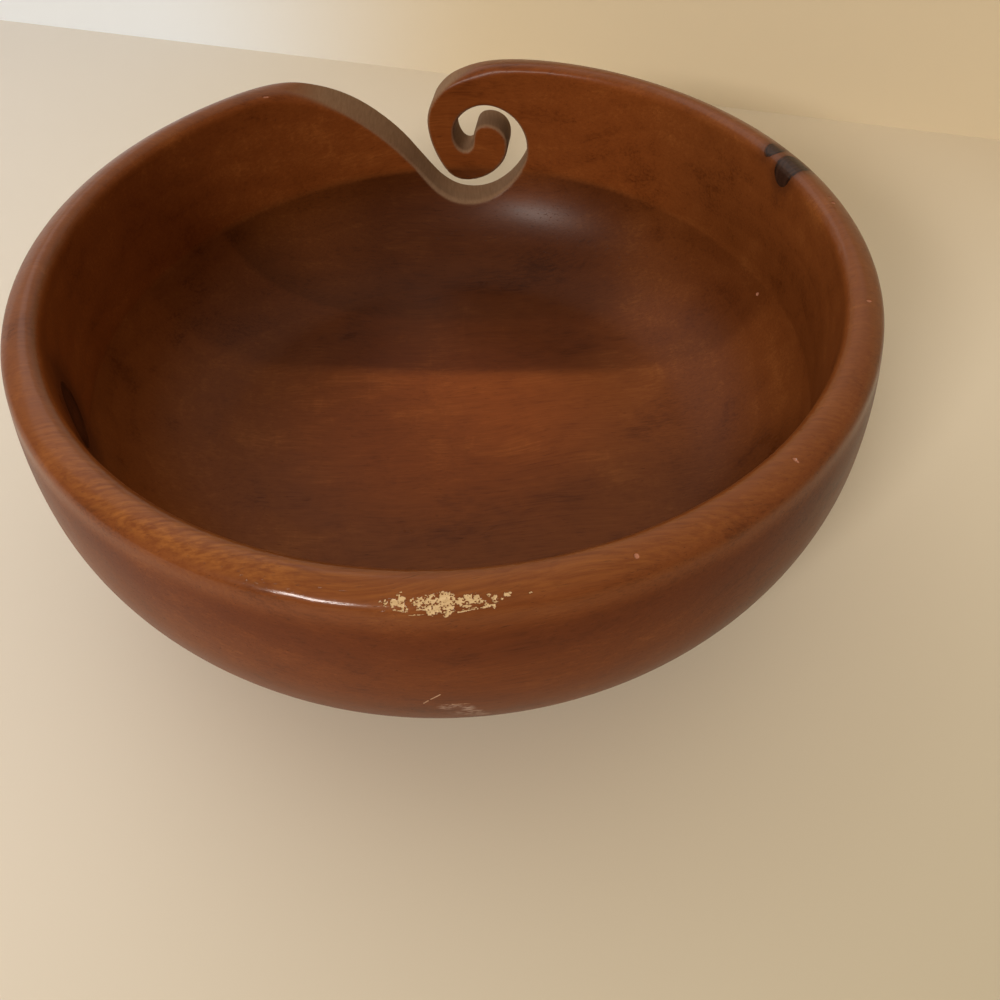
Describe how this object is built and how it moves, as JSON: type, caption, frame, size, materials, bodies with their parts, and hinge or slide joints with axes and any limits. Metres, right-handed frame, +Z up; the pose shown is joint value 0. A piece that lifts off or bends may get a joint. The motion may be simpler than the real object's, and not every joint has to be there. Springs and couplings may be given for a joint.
{
  "type": "yarn bowl",
  "caption": "Round turned wooden bowl with an incurved rounded rim and a spiral yarn guide slot sawn through its back wall; dark knots in the rim.",
  "frame": {"origin": "centre of the flat foot, on the turning axis", "axes": "+Z up along the turning axis; +Y is the direction the yarn slot is sawn in, so the spiral is in the XZ plane at the back"},
  "size_m": [0.178, 0.178, 0.067],
  "materials": {
    "stained_wood": "reddish brown stain under a semi-gloss clear finish",
    "knot_wood": "blackish brown knot under the same semi-gloss finish",
    "side_knot_wood": "dark brown knot under the same semi-gloss finish"
  },
  "bodies": {
    "root": {"turned_bowl": "stained_wood", "rim_knot_large": "knot_wood", "rim_knot_small": "knot_wood", "side_knot": "side_knot_wood"}
  },
  "joints": []
}
